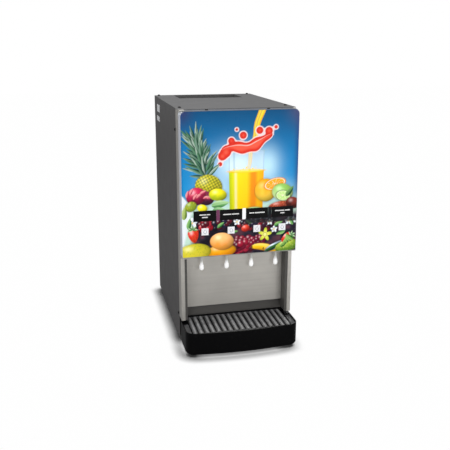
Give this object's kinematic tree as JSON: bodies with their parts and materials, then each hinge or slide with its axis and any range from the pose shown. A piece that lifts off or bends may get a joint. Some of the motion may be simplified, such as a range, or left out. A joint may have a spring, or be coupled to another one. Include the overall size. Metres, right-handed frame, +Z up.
{
  "type": "juice dispenser",
  "caption": "Countertop chilled juice dispenser: lit picture door with push-buttons over dispensing tips, steel splash bay, louvred drip tray and built-in refrigeration.",
  "frame": {"origin": "middle of the footprint at counter level", "axes": "-Y towards the front (door and drip tray), +X to the right seen from the front, +Z up"},
  "size_m": [0.404, 0.702, 0.843],
  "materials": {
    "painted_sheet": "dark grey textured paint",
    "painted_top": "grey textured paint",
    "stainless": "fine vertical or lengthwise brushing",
    "black_plastic": "moulded, fine texture",
    "dark_plastic": "moulded",
    "dark_trim": "moulded, satin",
    "rubber": "matt",
    "white_liner": "vacuum-formed liner",
    "jug_plastic": "translucent blow-moulded",
    "clear_acetal": "machined and clean",
    "motor_metal": "semi-gloss",
    "white_plastic": "smooth white",
    "silicone_tube": "milky hose",
    "valve_metal": "satin",
    "copper": "drawn copper tube, slightly dull",
    "brass": "machined",
    "black_enamel": "glossy enamel",
    "fin_aluminium": "thin fins",
    "red_plastic": "smooth",
    "black_steel": "black oxide",
    "door_silver": "silver paint",
    "print_film": "printed backlit film",
    "board_green": "circuit board",
    "card_black": "printed card under clear film",
    "button_white": "moulded cap",
    "tray_black": "moulded, satin gloss",
    "grille_grey": "moulded grey"
  },
  "bodies": {
    "cabinet": {"base_pan": "painted_sheet", "left_side_panel": "painted_sheet", "right_side_panel": "painted_sheet", "rear_panel": "painted_sheet", "top_cover": "painted_top", "top_vent_grille": "black_plastic", "front_frame": "stainless", "splash_panel": "stainless", "bay_side_trims": "dark_trim", "lower_front_panel": "dark_trim", "feet": "rubber", "compartment_liner": "white_liner", "concentrate_jugs": "jug_plastic", "jug_caps": "black_plastic", "pump_housings": "clear_acetal", "pump_motors": "motor_metal", "concentrate_tubes": "silicone_tube", "mixing_chambers": "dark_plastic", "solenoid_valves": "valve_metal", "water_manifold": "silicone_tube", "water_bath_tank": "white_liner", "evaporator_coil": "copper", "agitator_motor": "motor_metal", "compressor": "black_enamel", "condenser": "fin_aluminium", "fan_motor": "motor_metal", "fan_shroud": "black_plastic", "refrigerant_lines": "copper", "control_box": "painted_top", "water_inlet_fitting": "brass", "cord_gland": "rubber", "panel_screws": "black_steel", "hinge_brackets": "stainless", "hinge_pins": "stainless"},
    "door": {"door_shell": "door_silver", "door_graphic": "print_film", "door_liner": "white_liner", "door_gasket": "rubber", "door_boards": "board_green", "button_carrier": "dark_plastic", "flavour_cards": "card_black", "door_screws": "black_steel"},
    "button_1": {"button_1": "button_white"},
    "button_2": {"button_2": "button_white"},
    "button_3": {"button_3": "button_white"},
    "button_4": {"button_4": "button_white"},
    "nozzle_1": {"nozzle_1": "white_plastic"},
    "nozzle_2": {"nozzle_2": "white_plastic"},
    "nozzle_3": {"nozzle_3": "white_plastic"},
    "nozzle_4": {"nozzle_4": "white_plastic"},
    "pump_1": {"pump_rotor_1": "white_plastic"},
    "pump_2": {"pump_rotor_2": "white_plastic"},
    "pump_3": {"pump_rotor_3": "white_plastic"},
    "pump_4": {"pump_rotor_4": "white_plastic"},
    "agitator": {"agitator_rotor": "stainless"},
    "fan": {"fan_blade": "fin_aluminium"},
    "rocker": {"power_rocker": "red_plastic"},
    "tray": {"drip_tray": "tray_black", "tray_feet": "rubber"},
    "grille": {"drip_grille": "grille_grey"}
  },
  "joints": [
    {"name": "door_hinge", "type": "hinge", "parent": "cabinet", "child": "door", "pos_m": [-0.193, -0.265, 0.598], "axis": [0, 0, -1], "range_deg": [0, 110]},
    {"name": "button_1_press", "type": "slide", "parent": "door", "child": "button_1", "axis": [0, 1, 0], "range_m": [0, 0.0025], "stiffness_N_per_m": 300, "springref_m": -0.001},
    {"name": "button_2_press", "type": "slide", "parent": "door", "child": "button_2", "axis": [0, 1, 0], "range_m": [0, 0.0025], "stiffness_N_per_m": 300, "springref_m": -0.001},
    {"name": "button_3_press", "type": "slide", "parent": "door", "child": "button_3", "axis": [0, 1, 0], "range_m": [0, 0.0025], "stiffness_N_per_m": 300, "springref_m": -0.001},
    {"name": "button_4_press", "type": "slide", "parent": "door", "child": "button_4", "axis": [0, 1, 0], "range_m": [0, 0.0025], "stiffness_N_per_m": 300, "springref_m": -0.001},
    {"name": "nozzle_1_pull", "type": "slide", "parent": "cabinet", "child": "nozzle_1", "axis": [0, 0, -1], "range_m": [0, 0.03]},
    {"name": "nozzle_2_pull", "type": "slide", "parent": "cabinet", "child": "nozzle_2", "axis": [0, 0, -1], "range_m": [0, 0.03]},
    {"name": "nozzle_3_pull", "type": "slide", "parent": "cabinet", "child": "nozzle_3", "axis": [0, 0, -1], "range_m": [0, 0.03]},
    {"name": "nozzle_4_pull", "type": "slide", "parent": "cabinet", "child": "nozzle_4", "axis": [0, 0, -1], "range_m": [0, 0.03]},
    {"name": "pump_1_spin", "type": "hinge", "parent": "cabinet", "child": "pump_1", "pos_m": [-0.12, -0.15, 0.44], "axis": [0, 1, 0], "continuous": true},
    {"name": "pump_2_spin", "type": "hinge", "parent": "cabinet", "child": "pump_2", "pos_m": [-0.04, -0.15, 0.44], "axis": [0, 1, 0], "continuous": true},
    {"name": "pump_3_spin", "type": "hinge", "parent": "cabinet", "child": "pump_3", "pos_m": [0.04, -0.15, 0.44], "axis": [0, 1, 0], "continuous": true},
    {"name": "pump_4_spin", "type": "hinge", "parent": "cabinet", "child": "pump_4", "pos_m": [0.12, -0.15, 0.44], "axis": [0, 1, 0], "continuous": true},
    {"name": "agitator_spin", "type": "hinge", "parent": "cabinet", "child": "agitator", "pos_m": [0, 0.1975, 0.5], "axis": [0, 0, 1], "continuous": true},
    {"name": "fan_spin", "type": "hinge", "parent": "cabinet", "child": "fan", "pos_m": [0, 0.257, 0.785], "axis": [0, 0, 1], "continuous": true},
    {"name": "rocker_tilt", "type": "hinge", "parent": "cabinet", "child": "rocker", "pos_m": [-0.055, 0.32375, 0.08], "axis": [1, 0, 0], "range_deg": [-8, 8]},
    {"name": "tray_slide", "type": "slide", "parent": "cabinet", "child": "tray", "axis": [0, -1, 0], "range_m": [0, 0.18]},
    {"name": "grille_lift", "type": "slide", "parent": "tray", "child": "grille", "axis": [0, 0, 1], "range_m": [0, 0.03]}
  ]
}
